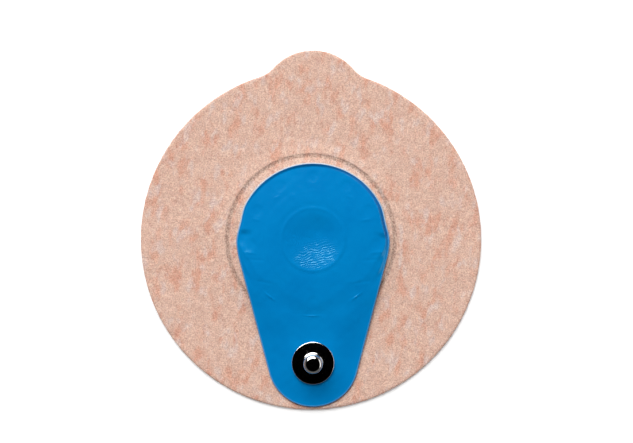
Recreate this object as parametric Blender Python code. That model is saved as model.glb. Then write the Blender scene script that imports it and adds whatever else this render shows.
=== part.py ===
"""A disposable ecg electrode with an offset press stud, in metres, with +Z up and the skin side down.

A round nonwoven backing with a finger tab carries a foam ring with a gel sponge on its skin side. A blue
film is pressed over the top: its head covers the sensor, and its tail holds the stud that a lead clips to.
The origin is the middle of the gel's skin face, and the tab points along +Y.
"""

import math

import bmesh
import bpy
from mathutils import Vector
from mathutils.geometry import delaunay_2d_cdt

for old_object in list(bpy.data.objects):
    bpy.data.objects.remove(old_object)

# Driving dimensions

# Clearance between layers that are glued or pressed together, and round the gel sponge
glue_line = 0.0001
sponge_clearance = 0.0003

# Nonwoven backing and its finger tab, which reaches this far past the disc's edge. The groove is pressed
# round the foam ring, this far outside it.
disc_radius = 0.0341
cloth_thickness = 0.0005
tab_radius = 0.0107
tab_reach = 0.0037
tab_shift = 0.0004
tab_fillet = 0.0064
groove_distance = 0.0011
groove_width = 0.0012
groove_floor = 0.00024
groove_depth = 0.0002

# Foam ring and gel sponge under the backing. The ring is wider than the film's head by the raised band.
sponge_radius = 0.0091
sponge_height = 0.0009
sponge_rounding = 0.0002
band_width = 0.0007
ring_thickness = 0.0005

# Sensor disc and the strip that leads to the stud
sensor_radius = 0.0050
sensor_thickness = 0.0002
strip_width = 0.0070
strip_thickness = 0.0002

# Blue film. It and what hangs on it lie this far to the right of the backing's middle. The tail's end is
# struck from a point a little nearer to the head than the stud. Insets are from the head's edge.
film_shift = 0.0004
film_thickness = 0.0004
head_radius = 0.0152
tail_radius = 0.00905
tail_end_offset = 0.00026
edge_width = 0.0002
wall_width = 0.0009
flap_lift_start = 0.0050
plateau_crown = 0.0004
crown_inset = 0.0080
dimple_radius = 0.0063
dimple_depth = 0.0005
dent_inset = 0.0026
dent_radius = 0.0017
dent_depth = 0.00015
upper_dents = 7
upper_dent_step = math.radians(31.6)
lower_dents = 3
lower_dent_step = math.radians(37.5)
pinch_height = 0.0012
pinch_radius = 0.0010
pinch_depth = 0.0004
side_pull = 0.00032
side_pull_angle = math.radians(24)
side_pull_spread = math.radians(20)

# Press stud, pressed from one sheet. Its flange lies past the run in which the tail steps down to it.
tail_step_run = 0.00391
stud_flange_radius = 0.00425
stud_sheet = 0.0003
stud_fillet = 0.0008
stud_neck_radius = 0.0015
stud_ball_radius = 0.00195
stud_ball_rounding = 0.00095
stud_height = 0.0037

# Eyelet that holds the stud from below
eyelet_flange_radius = 0.0039
eyelet_sheet = 0.00025

# Radii and levels, worked out from the dimensions

ring_inner_radius = sponge_radius + sponge_clearance
ring_outer_radius = head_radius + band_width
groove_radius = ring_outer_radius + groove_distance
shoulder_radius = ring_outer_radius + cloth_thickness
drop_start = shoulder_radius
drop_end = drop_start + tail_step_run
stud_distance = drop_end + glue_line + stud_flange_radius
tail_length = stud_distance - tail_end_offset
foot_radius = head_radius - edge_width
rim_radius = foot_radius - wall_width
raised_cloth_bottom = ring_thickness + glue_line
raised_cloth_top = raised_cloth_bottom + cloth_thickness
sensor_bottom = sponge_height + glue_line
sensor_top = sensor_bottom + sensor_thickness
bridge_strip_bottom = max(sensor_top, raised_cloth_top) + glue_line
bridge_film_bottom = bridge_strip_bottom + strip_thickness + glue_line
eyelet_bottom = cloth_thickness + glue_line
tail_strip_bottom = eyelet_bottom + eyelet_sheet + glue_line
tail_film_bottom = tail_strip_bottom + strip_thickness + glue_line
stud_bottom = tail_film_bottom + film_thickness + glue_line
glued_film_bottom = raised_cloth_top + glue_line
plateau_bottom = bridge_film_bottom + dimple_depth
post_radius = stud_neck_radius - stud_sheet - glue_line
stud_hole_radius = post_radius + glue_line
weld_distance = 1e-7


def arc(centre, radius, start, end, steps):
    """Points along an arc round centre, from one angle to another, both ends included."""
    angles = [start + (end - start) * step / steps for step in range(steps + 1)]
    return [(centre[0] + radius * math.cos(a), centre[1] + radius * math.sin(a)) for a in angles]


def circle(centre, radius, steps):
    return arc(centre, radius, 0.0, math.tau, steps)[:-1]


def smooth(value, low, high):
    """Rises smoothly from 0 at low to 1 at high."""
    share = min(max((value - low) / (high - low), 0.0), 1.0)
    return share * share * (3 - 2 * share)


def material(name, colour, roughness, metallic=0.0):
    made = bpy.data.materials.new(name)
    made.use_nodes = True
    shader = made.node_tree.nodes["Principled BSDF"]
    shader.inputs["Base Color"].default_value = (*colour, 1.0)
    shader.inputs["Roughness"].default_value = roughness
    shader.inputs["Metallic"].default_value = metallic
    return made


def add_piece(name, bm, place, finish, sharp_angle=30):
    """Makes the object of one piece from its mesh, with its faces pointing out and its edges shaded."""
    bmesh.ops.recalc_face_normals(bm, faces=bm.faces[:])
    mesh = bpy.data.meshes.new(name)
    bm.to_mesh(mesh)
    bm.free()
    mesh.shade_smooth()
    mesh.set_sharp_from_angle(angle=math.radians(sharp_angle))
    mesh.materials.append(finish)
    piece = bpy.data.objects.new(name, mesh)
    piece.location = place
    bpy.context.scene.collection.objects.link(piece)
    return piece


def turned(name, profile, steps, place, finish, hollow=False):
    """A piece turned about the vertical. Its profile runs from axis to axis, or is closed if it is hollow."""
    bm = bmesh.new()
    corners = [bm.verts.new((radius, 0.0, height)) for radius, height in profile]
    pairs = list(zip(corners, corners[1:]))
    if hollow:
        pairs.append((corners[-1], corners[0]))
    edges = [bm.edges.new(pair) for pair in pairs]
    bmesh.ops.spin(bm, geom=corners + edges, axis=(0, 0, 1), angle=math.tau, steps=steps)
    bmesh.ops.remove_doubles(bm, verts=bm.verts[:], dist=weld_distance)
    return add_piece(name, bm, place, finish)


def pressed(name, outline, loops, lines, spots, hole, bottom_at, thickness, place, finish, sharp_angle=30):
    """A sheet cut to its outline, drilled at hole, a (centre, radius), and pressed to follow bottom_at.

    The loops, lines and spots are what the sheet is creased along, so they become edges and corners of it.
    """
    points = []
    edges = []
    for path, closed in [(outline, True), *((p, True) for p in loops), *((p, False) for p in lines)]:
        first = len(points)
        points += path
        count = len(path)
        edges += [(first + i, first + (i + 1) % count) for i in range(count if closed else count - 1)]
    points += spots
    inside_only = 1
    flat = delaunay_2d_cdt([Vector(p) for p in points], edges, [], inside_only, weld_distance)
    bm = bmesh.new()
    corners = [bm.verts.new((x, y, 0.0)) for x, y in flat[0]]
    for face in flat[2]:
        middle = sum((flat[0][i] for i in face), Vector((0.0, 0.0))) / len(face)
        if (middle - Vector(hole[0])).length > hole[1]:
            bm.faces.new([corners[i] for i in face])
    bmesh.ops.delete(bm, geom=[v for v in bm.verts if not v.link_faces], context="VERTS")
    top = bmesh.ops.extrude_face_region(bm, geom=bm.faces[:])["geom"]
    upper = {item for item in top if isinstance(item, bmesh.types.BMVert)}
    for corner in bm.verts:
        corner.co.z = bottom_at(corner.co.x, corner.co.y) + (thickness if corner in upper else 0.0)
    return add_piece(name, bm, place, finish, sharp_angle)


# Materials

skin_nonwoven = material("skin_nonwoven", (0.73, 0.47, 0.37), 0.9)
white_foam = material("white_foam", (0.80, 0.79, 0.75), 0.85)
gel_soaked_sponge = material("gel_soaked_sponge", (0.72, 0.70, 0.58), 0.35)
silver_chloride = material("silver_chloride", (0.36, 0.34, 0.33), 0.5, 0.6)
carbon_film = material("carbon_film", (0.02, 0.02, 0.022), 0.45)
blue_film = material("blue_film", (0.0005, 0.22, 0.56), 0.25)
bright_nickel = material("bright_nickel", (0.72, 0.71, 0.69), 0.12, 1.0)
plain_nickel = material("plain_nickel", (0.62, 0.61, 0.59), 0.25, 1.0)


# Nonwoven backing: an outline of four arcs, and a section that steps over the foam ring
disc_steps = 84
fillet_steps = 5
tab_steps = 12


def backing_outline():
    """The disc with its finger tab, which two hollow fillets blend in."""
    tab_centre = Vector((tab_shift, disc_radius + tab_reach - tab_radius))
    reach_disc = disc_radius + tab_fillet
    reach_tab = tab_radius + tab_fillet
    distance = tab_centre.length
    along = (distance**2 + reach_disc**2 - reach_tab**2) / (2 * distance)
    across = math.sqrt(reach_disc**2 - along**2)
    axis = tab_centre.normalized()
    side = Vector((axis.y, -axis.x))
    right = axis * along + side * across
    left = axis * along - side * across
    disc_start = math.atan2(left.y, left.x)
    disc_end = math.atan2(right.y, right.x) + math.tau
    to_tab_right = math.atan2(*reversed(right - tab_centre))
    to_tab_left = math.atan2(*reversed(left - tab_centre))
    disc = arc((0.0, 0.0), disc_radius, disc_start, disc_end, disc_steps)
    right_fillet = arc(right, tab_fillet, disc_end - math.pi, to_tab_right + math.pi, fillet_steps)
    tab = arc(tab_centre, tab_radius, to_tab_right, to_tab_left, tab_steps)
    left_fillet = arc(left, tab_fillet, to_tab_left - math.pi, disc_start - math.pi, fillet_steps)
    return disc + right_fillet[1:] + tab[1:] + left_fillet[1:-1]


def backing_section():
    """(radius, height) down the skin side and back along the top. A radius of None is the cut edge."""
    hole = ring_inner_radius
    groove_bottom = cloth_thickness - groove_depth
    groove_inner = groove_radius - groove_width / 2
    groove_outer = groove_radius + groove_width / 2
    halfway_up = (raised_cloth_top + cloth_thickness) / 2
    skin_side = [
        (hole, raised_cloth_bottom),
        (ring_outer_radius + glue_line, raised_cloth_bottom),
        (groove_radius - groove_floor, 0.0),
        (None, 0.0),
    ]
    top_side = [
        (None, cloth_thickness),
        (groove_outer, cloth_thickness),
        (groove_radius + groove_floor, groove_bottom),
        (groove_radius, groove_bottom),
        (groove_inner + groove_floor, cloth_thickness),
        (groove_inner - groove_floor, halfway_up + groove_depth),
        (ring_outer_radius, raised_cloth_top - groove_depth / 2),
        (ring_outer_radius - cloth_thickness, raised_cloth_top),
        (hole, raised_cloth_top),
    ]
    return skin_side + top_side


def make_backing():
    outline = backing_outline()
    bm = bmesh.new()
    rings = []
    for radius, height in backing_section():
        ring = []
        for x, y in outline:
            scale = 1.0 if radius is None else radius / math.hypot(x, y)
            ring.append(bm.verts.new((x * scale, y * scale, height)))
        rings.append(ring)
    count = len(outline)
    for inner, outer in zip(rings, rings[1:] + rings[:1]):
        for i in range(count):
            j = (i + 1) % count
            bm.faces.new((inner[i], inner[j], outer[j], outer[i]))
    return add_piece("backing", bm, (0.0, 0.0, 0.0), skin_nonwoven, 50)


# Foam ring and gel sponge
ring_steps = 64
sponge_steps = 56


def make_seal_ring():
    section = [
        (ring_inner_radius, 0.0),
        (ring_outer_radius, 0.0),
        (ring_outer_radius, ring_thickness),
        (ring_inner_radius, ring_thickness),
    ]
    return turned("seal_ring", section, ring_steps, (0.0, 0.0, 0.0), white_foam, hollow=True)


def make_gel_sponge():
    rounded = sponge_radius - sponge_rounding
    lower = arc((rounded, sponge_rounding), sponge_rounding, -math.pi / 2, 0.0, 2)
    upper = arc((rounded, sponge_height - sponge_rounding), sponge_rounding, 0.0, math.pi / 2, 2)
    section = [(0.0, 0.0), *lower, *upper, (0.0, sponge_height)]
    return turned("gel_sponge", section, sponge_steps, (0.0, 0.0, 0.0), gel_soaked_sponge)


# Sensor disc and conductor strip. The tail comes off the raised cloth past its shoulder, and is level again
# before the stud's flange, so the sheets in it are creased where they step down between these two.
bends = 6
sensor_steps = 40
strip_end_steps = 12
hole_steps = 16


def half_round(radius, bottom, thickness, steps=4):
    """The rounded rim of a disc of that radius."""
    middle = (radius - thickness / 2, bottom + thickness / 2)
    return arc(middle, thickness / 2, -math.pi / 2, math.pi / 2, steps)


def make_sensor_disc():
    rim = half_round(sensor_radius, 0.0, sensor_thickness)
    section = [(0.0, 0.0), *rim, (0.0, sensor_thickness)]
    return turned("sensor_disc", section, sensor_steps, (film_shift, 0.0, sensor_bottom), silver_chloride)


def drop(y):
    """How far down the step from the raised cloth to the stud a place along the tail is, from 0 to 1."""
    return smooth(-y, drop_start, drop_end)


def bend_stations():
    """The places along the tail where the sheets are creased to follow the step."""
    return [-drop_start - tail_step_run * i / bends for i in range(bends + 1)]


def make_conductor_strip():
    """A strip with round ends, flat over the sensor and stepped down to the stud."""
    half = strip_width / 2
    stations = bend_stations()
    right = [(half, y) for y in reversed(stations)]
    left = [(-half, y) for y in stations]
    sensor_end = arc((0.0, 0.0), half, 0.0, math.pi, strip_end_steps)
    stud_end = arc((0.0, -stud_distance), half, math.pi, math.tau, strip_end_steps)
    hole = ((0.0, -stud_distance), stud_hole_radius)
    return pressed(
        "conductor_strip",
        outline=sensor_end + left + stud_end + right,
        loops=[circle(*hole, hole_steps)],
        lines=[[(-half, y), (half, y)] for y in stations],
        spots=[],
        hole=hole,
        bottom_at=lambda x, y: bridge_strip_bottom + (tail_strip_bottom - bridge_strip_bottom) * drop(y),
        thickness=strip_thickness,
        place=(film_shift, 0.0, 0.0),
        finish=carbon_film,
    )


# Blue film, with how many corners each of its curves gets, and the dimple's rings as a share of its radius
head_steps = 72
tail_steps = 24
crown_steps = 40
dent_steps = 10
wall_rings = 4
lift_steps = 6
dimple_rings = ((1, 40), (0.75, 30), (0.5, 20), (0.25, 10))


def side_inset(angle):
    """How far the head's edge is drawn in at the sides, where the film's rim is pinched."""
    above = abs(math.remainder(angle - math.pi / 2, math.tau))
    away = abs(above - (math.pi / 2 - side_pull_angle))
    return side_pull * (1 - smooth(away, 0.0, side_pull_spread))


def head_loop(inset):
    """A loop round the head, that far inside its edge."""
    angles = [math.tau * step / head_steps for step in range(head_steps)]
    radii = [head_radius - side_inset(a) - inset for a in angles]
    return [(r * math.cos(a), r * math.sin(a)) for r, a in zip(radii, angles)]


def film_outline():
    """The head's edge, and the tail's end joined to it by two straight sides."""
    slope = math.asin((head_radius - tail_radius) / tail_length)
    start = -slope
    end = math.pi + slope
    angles = [start + (end - start) * step / head_steps for step in range(head_steps + 1)]
    radii = [head_radius - side_inset(a) for a in angles]
    head = [(r * math.cos(a), r * math.sin(a)) for r, a in zip(radii, angles)]
    tail = arc((0.0, -tail_length), tail_radius, end, math.tau + start, tail_steps)
    stations = lift_stations() + bend_stations()
    left = [side_point(head[-1], tail[0], y) for y in stations]
    right = [side_point(tail[-1], head[0], y) for y in reversed(stations)]
    return head + left + tail + right


def lift_stations():
    """The places along the straight sides where the film comes up from the cloth on to the strip."""
    return [-flap_lift_start - (rim_radius - flap_lift_start) * i / lift_steps for i in range(lift_steps + 1)]


def side_point(start, end, y):
    """The point at height y on the straight line from start to end."""
    share = (y - start[1]) / (end[1] - start[1])
    return (start[0] + (end[0] - start[0]) * share, y)


def bend_lines(outline):
    """The creases across the tail, from one straight side to the other."""
    lines = []
    for y in bend_stations():
        half = max(x for x, height in outline if abs(height - y) < weld_distance)
        lines.append([(half * share / 3, y) for share in range(-3, 4)])
    return lines


def dent_places():
    """The dents round the plateau: the upper ones from side to side over the top, the lower by the tail."""
    upper = [math.pi / 2 + upper_dent_step * (i - (upper_dents - 1) / 2) for i in range(upper_dents)]
    lower = [-math.pi / 2 + lower_dent_step * (i - (lower_dents - 1) / 2) for i in range(lower_dents)]
    radius = head_radius - dent_inset
    return [(radius * math.cos(a), radius * math.sin(a)) for a in upper + lower]


def pinch_places():
    """The pinch on each side, on the plateau's wall a little above the middle."""
    reach = (rim_radius + foot_radius) / 2
    return [(-reach, pinch_height), (reach, pinch_height)]


def sunk(x, y, places, radius, depth):
    """How deep a round dent of that radius, about the nearest of the places, sinks the film at a point."""
    nearest = min(math.hypot(x - place[0], y - place[1]) for place in places)
    return depth * (1 - smooth(nearest, radius / 2, radius))


def film_bottom(x, y):
    """The height of the film's underside."""
    radius = math.hypot(x, y)
    lifted = smooth(-y, flap_lift_start, rim_radius)
    base = glued_film_bottom + (bridge_film_bottom - glued_film_bottom) * lifted
    base += (tail_film_bottom - bridge_film_bottom) * drop(y)
    raised = 1 - smooth(radius + side_inset(math.atan2(y, x)), rim_radius, foot_radius)
    plateau = plateau_bottom - plateau_crown * smooth(radius, head_radius - crown_inset, rim_radius)
    plateau -= sunk(x, y, dent_places(), dent_radius, dent_depth)
    plateau -= sunk(x, y, pinch_places(), pinch_radius, pinch_depth)
    if radius < dimple_radius:
        plateau -= dimple_depth * (1 - (radius / dimple_radius) ** 2)
    return base + (plateau - base) * raised


def make_foil_flap():
    outline = film_outline()
    hole = ((0.0, -stud_distance), stud_hole_radius)
    middle = (0.0, 0.0)
    wall_loops = [head_loop(edge_width + wall_width * i / wall_rings) for i in range(wall_rings + 1)]
    dimple_loops = [circle(middle, dimple_radius * share, corners) for share, corners in dimple_rings]
    crown_loop = circle(middle, head_radius - crown_inset, crown_steps)
    spots = [middle]
    for place in dent_places():
        spots += [place, *circle(place, dent_radius / 2, dent_steps), *circle(place, dent_radius, dent_steps)]
    on_plateau = rim_radius - dent_radius / 4
    return pressed(
        "foil_flap",
        outline=outline,
        loops=[*wall_loops, *dimple_loops, crown_loop, circle(*hole, hole_steps)],
        lines=bend_lines(outline),
        spots=[spot for spot in spots if math.hypot(*spot) < on_plateau],
        hole=hole,
        bottom_at=film_bottom,
        thickness=film_thickness,
        place=(film_shift, 0.0, 0.0),
        finish=blue_film,
        sharp_angle=45,
    )


# Press stud and eyelet
stud_steps = 36
eyelet_steps = 24
stud_place = (film_shift, -stud_distance, 0.0)
ball_middle = (stud_ball_radius - stud_ball_rounding, stud_bottom + stud_height - stud_ball_rounding)
fillet_middle = (stud_neck_radius + stud_fillet, stud_bottom + stud_sheet + stud_fillet)


def ball_arc(rounding, neck, steps, upwards):
    """The side of the ball between the neck and the flat top, for that rounding."""
    start = -math.acos((neck - ball_middle[0]) / rounding)
    if upwards:
        return arc(ball_middle, rounding, start, math.pi / 2, steps)
    return arc(ball_middle, rounding, math.pi / 2, start, steps)


def make_snap_stud():
    """One sheet turned up from the flange, through the fillet and the neck, to the ball."""
    top = stud_bottom + stud_height
    rim = half_round(stud_flange_radius, stud_bottom, stud_sheet)
    inner_neck = stud_neck_radius - stud_sheet
    section = [
        (0.0, top - stud_sheet),
        *ball_arc(stud_ball_rounding - stud_sheet, inner_neck, 5, upwards=False),
        *arc(fillet_middle, stud_fillet + stud_sheet, -math.pi, -math.pi / 2, 3),
        *rim,
        *arc(fillet_middle, stud_fillet, -math.pi / 2, -math.pi, 4),
        *ball_arc(stud_ball_rounding, stud_neck_radius, 8, upwards=True),
        (0.0, top),
    ]
    return turned("snap_stud", section, stud_steps, stud_place, bright_nickel)


def make_stud_eyelet():
    """A flange under the tail, with a hollow post that is pressed open inside the stud's ball."""
    post_top = stud_bottom + stud_height - stud_sheet - glue_line
    bore = post_radius - eyelet_sheet
    section = [
        (0.0, post_top - eyelet_sheet),
        (bore, post_top - eyelet_sheet),
        (bore, eyelet_bottom),
        *half_round(eyelet_flange_radius, eyelet_bottom, eyelet_sheet),
        (post_radius, eyelet_bottom + eyelet_sheet),
        *ball_arc(stud_ball_rounding - stud_sheet - glue_line, post_radius, 4, upwards=True),
        (0.0, post_top),
    ]
    return turned("stud_eyelet", section, eyelet_steps, stud_place, plain_nickel)


make_backing()
make_seal_ring()
make_gel_sponge()
make_sensor_disc()
make_conductor_strip()
make_foil_flap()
make_snap_stud()
make_stud_eyelet()
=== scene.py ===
"""Looks of a disposable ecg electrode that lies with its skin side down, its tab along +Y, in metres.

The sections follow the electrode as it is put together, from the skin up: foam ring, gel sponge,
nonwoven backing, sensor disc, conductor strip, eyelet, blue film and press stud. The table, the lights
and the camera come last.
"""

import math

import bmesh
import bpy
import numpy as np
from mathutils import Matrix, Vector
from mathutils.geometry import delaunay_2d_cdt


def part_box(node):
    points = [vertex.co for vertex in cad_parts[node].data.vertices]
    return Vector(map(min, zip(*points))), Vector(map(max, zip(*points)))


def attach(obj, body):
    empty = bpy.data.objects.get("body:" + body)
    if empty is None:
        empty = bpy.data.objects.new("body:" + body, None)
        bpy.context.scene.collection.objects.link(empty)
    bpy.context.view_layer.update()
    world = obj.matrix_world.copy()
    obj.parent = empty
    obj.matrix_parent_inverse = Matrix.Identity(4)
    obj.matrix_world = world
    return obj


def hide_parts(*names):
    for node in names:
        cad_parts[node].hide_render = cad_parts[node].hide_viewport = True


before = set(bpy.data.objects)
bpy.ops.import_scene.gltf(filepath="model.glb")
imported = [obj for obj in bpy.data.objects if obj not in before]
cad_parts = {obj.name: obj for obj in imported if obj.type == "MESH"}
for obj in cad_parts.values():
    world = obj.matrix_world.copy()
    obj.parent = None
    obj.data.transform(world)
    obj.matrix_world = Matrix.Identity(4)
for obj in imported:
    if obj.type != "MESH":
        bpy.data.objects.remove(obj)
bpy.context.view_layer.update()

mm = 0.001

# Foam ring
# A ring cut from white closed-cell foam and glued under the backing, where it walls in the gel. Its top
# and bottom have the sheet's skin, and its cut sides show opened cells.

ring_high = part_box("seal_ring")[1]
ring_outer = ring_high.x
ring_top = ring_high.z
ring_inner = 9.4 * mm
ring_corner = 0.08 * mm
ring_cell = 0.9 * mm
ring_roughness = 0.02 * mm
ring_steps = 300


def unevenness(points, size, seed, waves=30):
    """A smooth random height at each point, about -1 to 1, with bumps about that size across."""
    rng = np.random.default_rng(seed)
    directions = rng.normal(size=(waves, points.shape[1]))
    directions /= np.linalg.norm(directions, axis=1)[:, None]
    turns = math.tau / (2 * size) * rng.uniform(0.6, 1.5, (waves, 1))
    phases = rng.uniform(0.0, math.tau, waves)
    return np.sin(points @ (directions * turns).T + phases).sum(1) / math.sqrt(waves)


def smooth(value, low, high):
    """Rises smoothly from 0 at low to 1 at high."""
    share = np.clip((value - low) / (high - low), 0.0, 1.0)
    return share * share * (3 - 2 * share)


def arc(centre, radius, start, end, steps):
    """Points along an arc round centre, both ends included."""
    angles = np.linspace(start, end, steps + 1)
    return np.column_stack([centre[0] + radius * np.cos(angles), centre[1] + radius * np.sin(angles)])


def straight(start, end, steps):
    """Points on the straight line from start to end, without the end."""
    shares = np.arange(steps)[:, None] / steps
    return np.array(start) + (np.array(end) - np.array(start)) * shares


def make_piece(name, corners, faces, sharp_angle=40):
    """A closed piece with its faces pointing out, shaded smooth but for its sharp edges."""
    mesh = bpy.data.meshes.new(name)
    mesh.from_pydata(corners.tolist(), [], faces)
    bm = bmesh.new()
    bm.from_mesh(mesh)
    bmesh.ops.recalc_face_normals(bm, faces=bm.faces[:])
    bm.to_mesh(mesh)
    bm.free()
    mesh.shade_smooth()
    mesh.set_sharp_from_angle(angle=math.radians(sharp_angle))
    piece = bpy.data.objects.new(name, mesh)
    bpy.context.scene.collection.objects.link(piece)
    return piece


def turned(profile, steps, centre=(0.0, 0.0), hollow=False):
    """Corners and faces of a profile of (radius, height) turned about the vertical through centre."""
    corners = []
    rows = []
    for radius, height in profile:
        first = len(corners)
        count = steps if radius > 0 else 1
        rows.append([first + i % count for i in range(steps)])
        for angle in np.arange(count) * math.tau / steps:
            x = centre[0] + radius * math.cos(angle)
            y = centre[1] + radius * math.sin(angle)
            corners.append((x, y, height))
    faces = []
    for low, high in zip(rows, rows[1:] + rows[:1] if hollow else rows[1:]):
        for i in range(steps):
            j = (i + 1) % steps
            faces.append(tuple(dict.fromkeys((low[i], low[j], high[j], high[i]))))
    return np.array(corners), faces


def ring_profile():
    """The ring's section, down the inside, out along the bottom, up and back along the top."""
    inner = ring_inner + ring_corner
    outer = ring_outer - ring_corner
    low = ring_corner
    high = ring_top - ring_corner
    return np.vstack([
        straight((ring_inner, high), (ring_inner, low), 5),
        arc((inner, low), ring_corner, math.pi, 1.5 * math.pi, 3),
        straight((inner, 0.0), (outer, 0.0), 14)[1:],
        arc((outer, low), ring_corner, -0.5 * math.pi, 0.0, 3),
        straight((ring_outer, low), (ring_outer, high), 5)[1:],
        arc((outer, high), ring_corner, 0.0, 0.5 * math.pi, 3),
        straight((outer, ring_top), (inner, ring_top), 14)[1:],
        arc((inner, high), ring_corner, 0.5 * math.pi, math.pi, 3)[:-1],
    ])


def make_foam_ring():
    corners, faces = turned(ring_profile(), ring_steps, hollow=True)
    radius = np.hypot(corners[:, 0], corners[:, 1])
    inner_side = np.clip((ring_inner + ring_corner - radius) / ring_corner, 0, 1)
    outer_side = np.clip((radius - ring_outer + ring_corner) / ring_corner, 0, 1)
    dents = np.abs(unevenness(corners, ring_cell, seed=3)) * ring_roughness
    corners[:, :2] *= (1 + (inner_side - outer_side) * dents / radius)[:, None]
    return make_piece("foam_ring", corners, faces)


def set_inputs(tree, node, inputs):
    """Sets each of those inputs of a shader node, or links it to a socket."""
    for name, value in inputs.items():
        if isinstance(value, bpy.types.NodeSocket):
            tree.links.new(value, node.inputs[name])
        else:
            node.inputs[name].default_value = value


def add_node(tree, kind, inputs=None, **settings):
    """Adds a shader node, with its settings and with its inputs set or linked."""
    made = tree.nodes.new(kind)
    for name, value in settings.items():
        setattr(made, name, value)
    set_inputs(tree, made, inputs or {})
    return made


def maths(tree, operation, *values):
    """The result of a Math node on those values or sockets."""
    return add_node(tree, "ShaderNodeMath", dict(enumerate(values)), operation=operation).outputs[0]


def ramp(tree, value, low, high, at_low=0.0, at_high=1.0):
    """A value that goes smoothly from at_low to at_high while another goes from low to high."""
    sockets = {"Value": value, "From Min": low, "From Max": high, "To Min": at_low, "To Max": at_high}
    return add_node(tree, "ShaderNodeMapRange", sockets, interpolation_type="SMOOTHSTEP").outputs[0]


def blended(tree, share, first, second, way="MIX"):
    """A colour mixed from two, each a socket or (red, green, blue)."""
    sockets = {0: share}
    for index, colour in ((6, first), (7, second)):
        sockets[index] = (*colour, 1.0) if isinstance(colour, tuple) else colour
    return add_node(tree, "ShaderNodeMix", data_type="RGBA", blend_type=way, inputs=sockets).outputs[2]


def noise(tree, place, size, detail=2.0, roughness=0.5, kind="FBM"):
    """Noise whose patches are about that size across, from about 0 to 1."""
    sockets = {"Vector": place, "Scale": 1 / size, "Detail": detail, "Roughness": roughness}
    return add_node(tree, "ShaderNodeTexNoise", sockets, noise_type=kind).outputs[0]


def bumped(tree, height, depth):
    """A surface normal from a height of 0 to 1 that stands for that depth."""
    return add_node(tree, "ShaderNodeBump", {"Height": height, "Distance": depth}).outputs[0]


def new_material(name):
    """A new material, with its node tree, its shader and the piece's own coordinates."""
    material = bpy.data.materials.new(name)
    material.use_nodes = True
    tree = material.node_tree
    place = add_node(tree, "ShaderNodeTexCoord").outputs["Object"]
    return material, tree, tree.nodes["Principled BSDF"], place


def dress(piece, material):
    """Gives a piece that material alone."""
    piece.data.materials.clear()
    piece.data.materials.append(material)


def new_effect(name, inputs, outputs):
    """An empty shader node group with those sockets, and its input and output sockets."""
    group = bpy.data.node_groups.new(name, "ShaderNodeTree")
    for label, kind in inputs.items():
        group.interface.new_socket(label, in_out="INPUT", socket_type=kind)
    for label, kind in outputs.items():
        group.interface.new_socket(label, in_out="OUTPUT", socket_type=kind)
    return group, group.nodes.new("NodeGroupInput").outputs, group.nodes.new("NodeGroupOutput").inputs


def effect(tree, group, sockets):
    """The outputs of an effect, placed in a material with its own values."""
    return add_node(tree, "ShaderNodeGroup", sockets, node_tree=group).outputs


def make_cells_effect():
    """Foam cells: how open the foam is at a place, and the height of the walls between its cells."""
    group, given, made = new_effect(
        "foam cells",
        {"Place": "NodeSocketVector", "Cells per metre": "NodeSocketFloat"},
        {"Opening": "NodeSocketFloat", "Height": "NodeSocketFloat"},
    )
    sockets = {"Vector": given["Place"], "Scale": given["Cells per metre"]}
    cells = add_node(group, "ShaderNodeTexVoronoi", sockets, feature="SMOOTH_F1")
    cells.inputs["Smoothness"].default_value = 0.3
    walls = add_node(group, "ShaderNodeTexVoronoi", sockets, feature="DISTANCE_TO_EDGE")
    group.links.new(ramp(group, cells.outputs["Distance"], 0.15, 0.55, 1.0, 0.0), made["Opening"])
    group.links.new(ramp(group, walls.outputs["Distance"], 0.0, 0.25, 1.0, 0.0), made["Height"])
    return group


foam_cells = make_cells_effect()


def make_foam_material():
    material, tree, shader, place = new_material("white foam")
    cells = effect(tree, foam_cells, {"Place": place, "Cells per metre": 1 / (0.22 * mm)})
    clouds = noise(tree, place, 4 * mm)
    skin = blended(tree, clouds, (0.76, 0.75, 0.70), (0.83, 0.82, 0.79))
    opened = maths(tree, "MULTIPLY", cells["Opening"], 0.4)
    set_inputs(tree, shader, {
        "Base Color": blended(tree, opened, skin, (0.60, 0.59, 0.55)),
        "Roughness": ramp(tree, cells["Opening"], 0.0, 1.0, 0.62, 0.85),
        "Subsurface Weight": 0.2,
        "Subsurface Radius": (0.4 * mm, 0.4 * mm, 0.35 * mm),
        "Subsurface Scale": 1.0,
        "Normal": bumped(tree, cells["Height"], 0.03 * mm),
    })
    return material


foam_ring = make_foam_ring()
dress(foam_ring, make_foam_material())
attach(foam_ring, "root")
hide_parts("seal_ring")


# Gel sponge
# A round of open-pored sponge in the ring, soaked with wet gel up to its faces. Pores show as pits where
# the gel has drawn back, and the gel makes the whole face shine.

sponge_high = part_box("gel_sponge")[1]
sponge_radius = sponge_high.x
sponge_top = sponge_high.z
sponge_rounding = 0.2 * mm
sponge_pitch = 0.26 * mm
pore_count = 520
pore_sizes = (0.14 * mm, 0.42 * mm)
pore_depth = 0.16 * mm
sponge_steps = 200
same_point = 1e-8


def lattice(low, high, pitch):
    """Points of a lattice of equal triangles over a rectangle."""
    columns = np.arange(low[0], high[0] + pitch, pitch)
    rows = np.arange(low[1], high[1] + pitch, pitch * math.sqrt(0.75))
    x, y = np.meshgrid(columns, rows)
    x[1::2] += pitch / 2
    return np.column_stack([x.ravel(), y.ravel()])


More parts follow.
